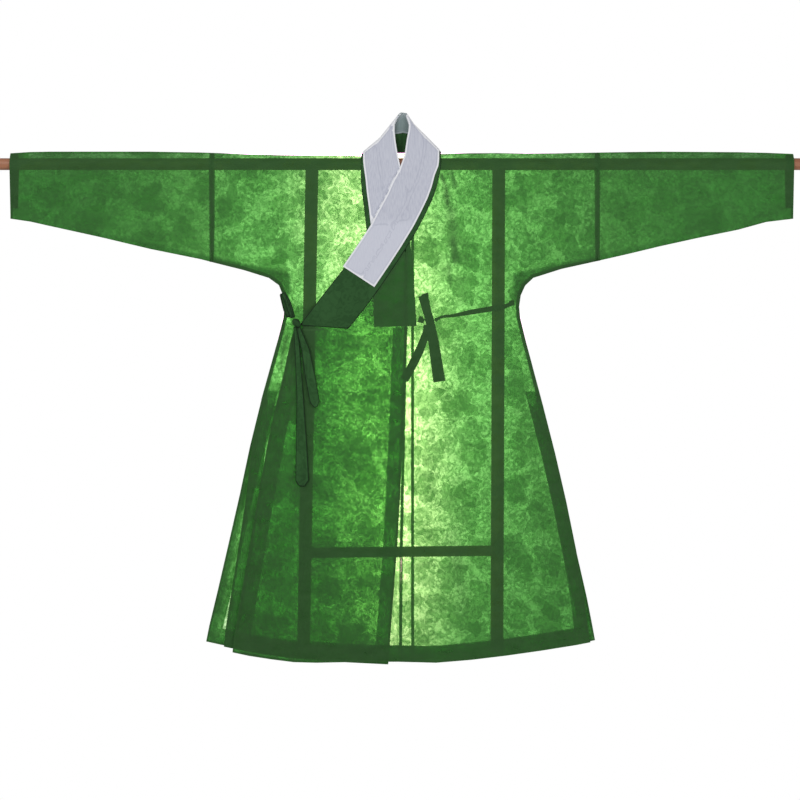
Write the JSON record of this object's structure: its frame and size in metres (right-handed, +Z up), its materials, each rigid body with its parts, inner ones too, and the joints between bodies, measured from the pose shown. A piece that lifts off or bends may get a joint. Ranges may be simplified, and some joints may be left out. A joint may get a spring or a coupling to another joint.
{
  "type": "hanfu robe on rod",
  "caption": "Sheer cross-collared hanfu robe with straight sleeves and side slits, hung flat through its sleeves on a wooden rod.",
  "frame": {"origin": "on the axis of the rod, half-way along it, where the rod is held", "axes": "+X towards the wearer's left along the rod, +Y towards the back of the robe, +Z up"},
  "size_m": [2.06, 0.057, 1.3536],
  "materials": {
    "gauze": "sheer patterned gauze",
    "facing": "turned gauze",
    "collar": "doubled and stiffened gauze",
    "guard": "fine plain weave",
    "tie": "narrow ribbon",
    "wood": "oiled satin"
  },
  "bodies": {
    "root": {"body_left": "gauze", "body_right": "gauze", "outer_overlap": "gauze", "sleeve_left": "gauze", "sleeve_right": "gauze", "overlap_facing": "facing", "front_facing_left": "facing", "back_facing_left": "facing", "back_facing_right": "facing", "front_facing_right": "facing", "cuff_facing_left": "facing", "cuff_facing_right": "facing", "collar": "collar", "collar_guard": "guard", "outer_tie_tail_long": "tie", "outer_tie_tail_short": "tie", "outer_tie_loop": "tie", "outer_tie_knot": "tie", "inner_tie_ribbon": "tie", "inner_tie_tail": "tie", "inner_tie_tab": "tie", "inner_tie_strap": "tie", "inner_tie_knot": "tie", "rod": "wood", "upright_left": "wood", "upright_right": "wood", "crossbar": "wood"}
  },
  "joints": []
}
